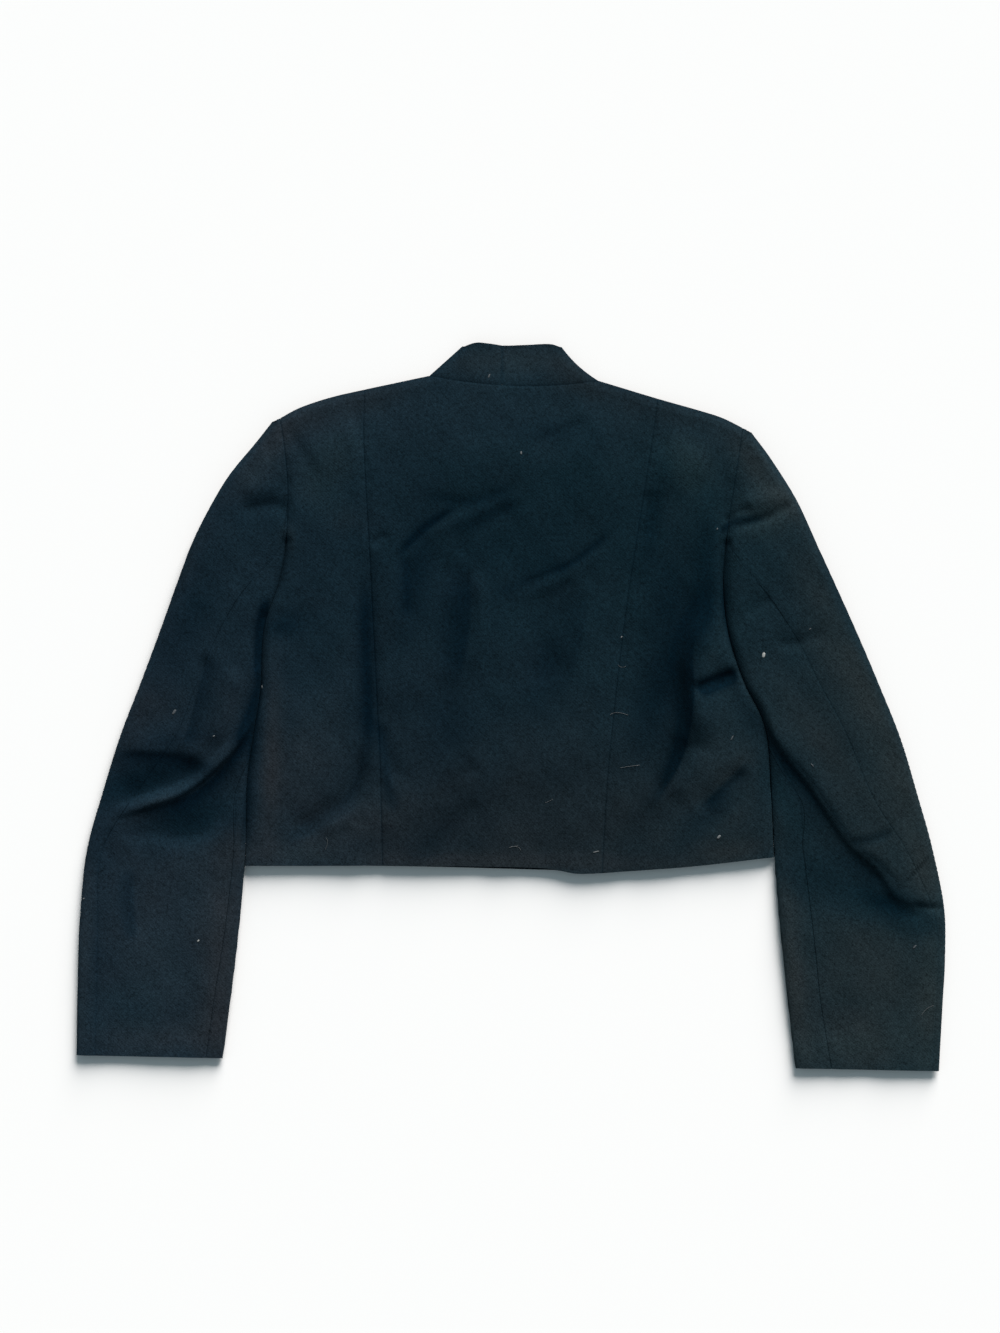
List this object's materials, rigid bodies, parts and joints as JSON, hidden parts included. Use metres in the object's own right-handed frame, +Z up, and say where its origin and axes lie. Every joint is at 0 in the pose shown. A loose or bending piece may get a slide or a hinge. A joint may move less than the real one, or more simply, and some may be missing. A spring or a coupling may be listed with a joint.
{
  "type": "cropped jacket laid flat",
  "caption": "Cropped tailored jacket in dark wool cloth, lying flat with its back up: stand collar, seamed back panels and sleeves of two panels with folds at the elbows.",
  "frame": {"origin": "centre of the jacket's outline in plan, on the surface it lies on", "axes": "+X to the right seen from above, across the sleeves; +Y towards the collar; +Z up from the surface"},
  "size_m": [0.7994, 0.6713, 0.0204],
  "materials": {
    "wool": "matte brushed wool, very dark blue-black"
  },
  "bodies": {
    "root": {"back_centre": "wool", "back_side_left": "wool", "back_side_right": "wool", "front_left": "wool", "front_right": "wool", "collar_left": "wool", "collar_right": "wool", "sleeve_top_left": "wool", "sleeve_under_left": "wool", "sleeve_top_right": "wool", "sleeve_under_right": "wool"}
  },
  "joints": []
}
